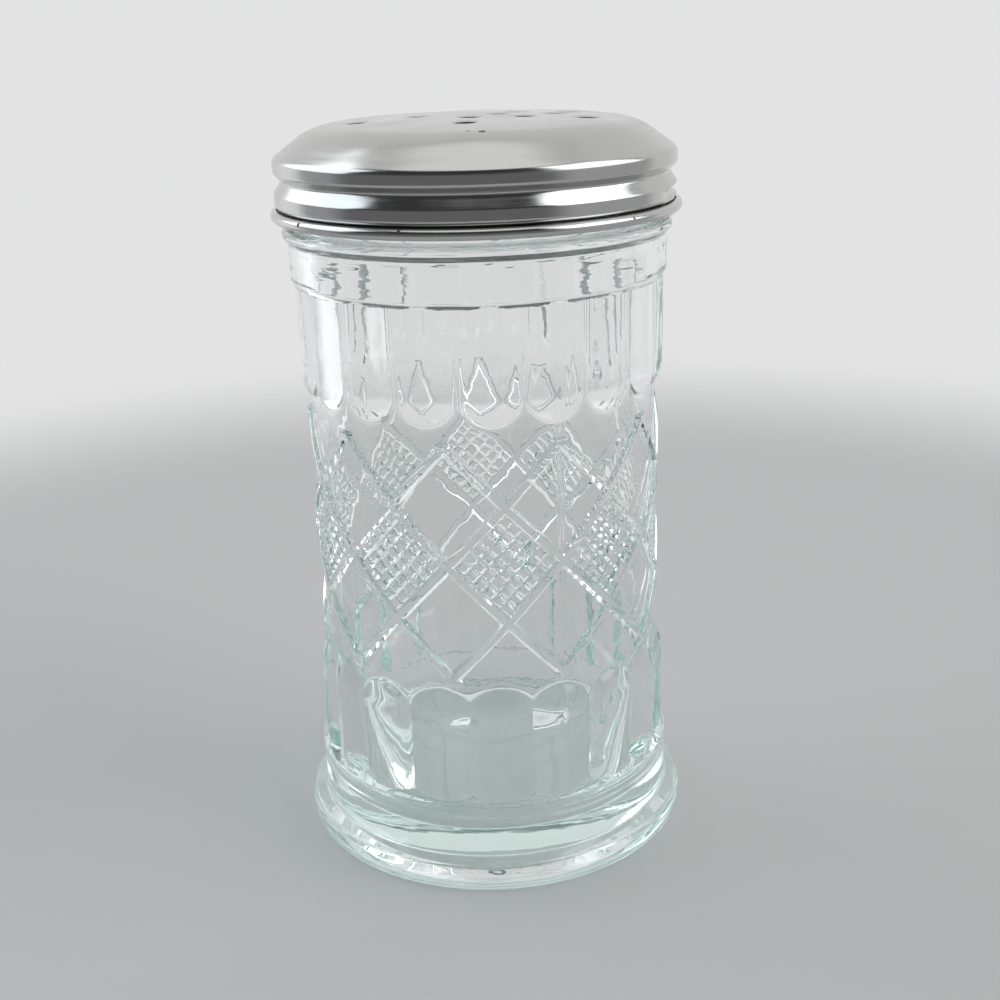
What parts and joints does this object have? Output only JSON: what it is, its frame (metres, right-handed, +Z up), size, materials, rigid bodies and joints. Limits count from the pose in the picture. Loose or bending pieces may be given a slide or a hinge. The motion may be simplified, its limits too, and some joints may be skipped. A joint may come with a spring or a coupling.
{
  "type": "screw-top shaker jar",
  "caption": "Clear pressed glass shaker jar with gadroons and a diamond lattice, closed by a perforated domed screw lid of thin plated steel.",
  "frame": {"origin": "middle of the plane the foot rests on", "axes": "+Z up along the jar's axis, -Y towards the viewer, +X to the viewer's right"},
  "size_m": [0.0776, 0.0776, 0.14],
  "materials": {
    "clear_glass": "pressed soda-lime glass, fire polished, faint green tint",
    "plated_steel": "bright plated tin-steel sheet with light handling wear"
  },
  "bodies": {
    "jar": {"glass_jar": "clear_glass"},
    "lid": {"screw_lid": "plated_steel"}
  },
  "joints": [
    {"name": "lid_lift", "type": "slide", "parent": "jar", "child": "lid", "axis": [0, 0, 1], "range_m": [0, 0.04]}
  ]
}
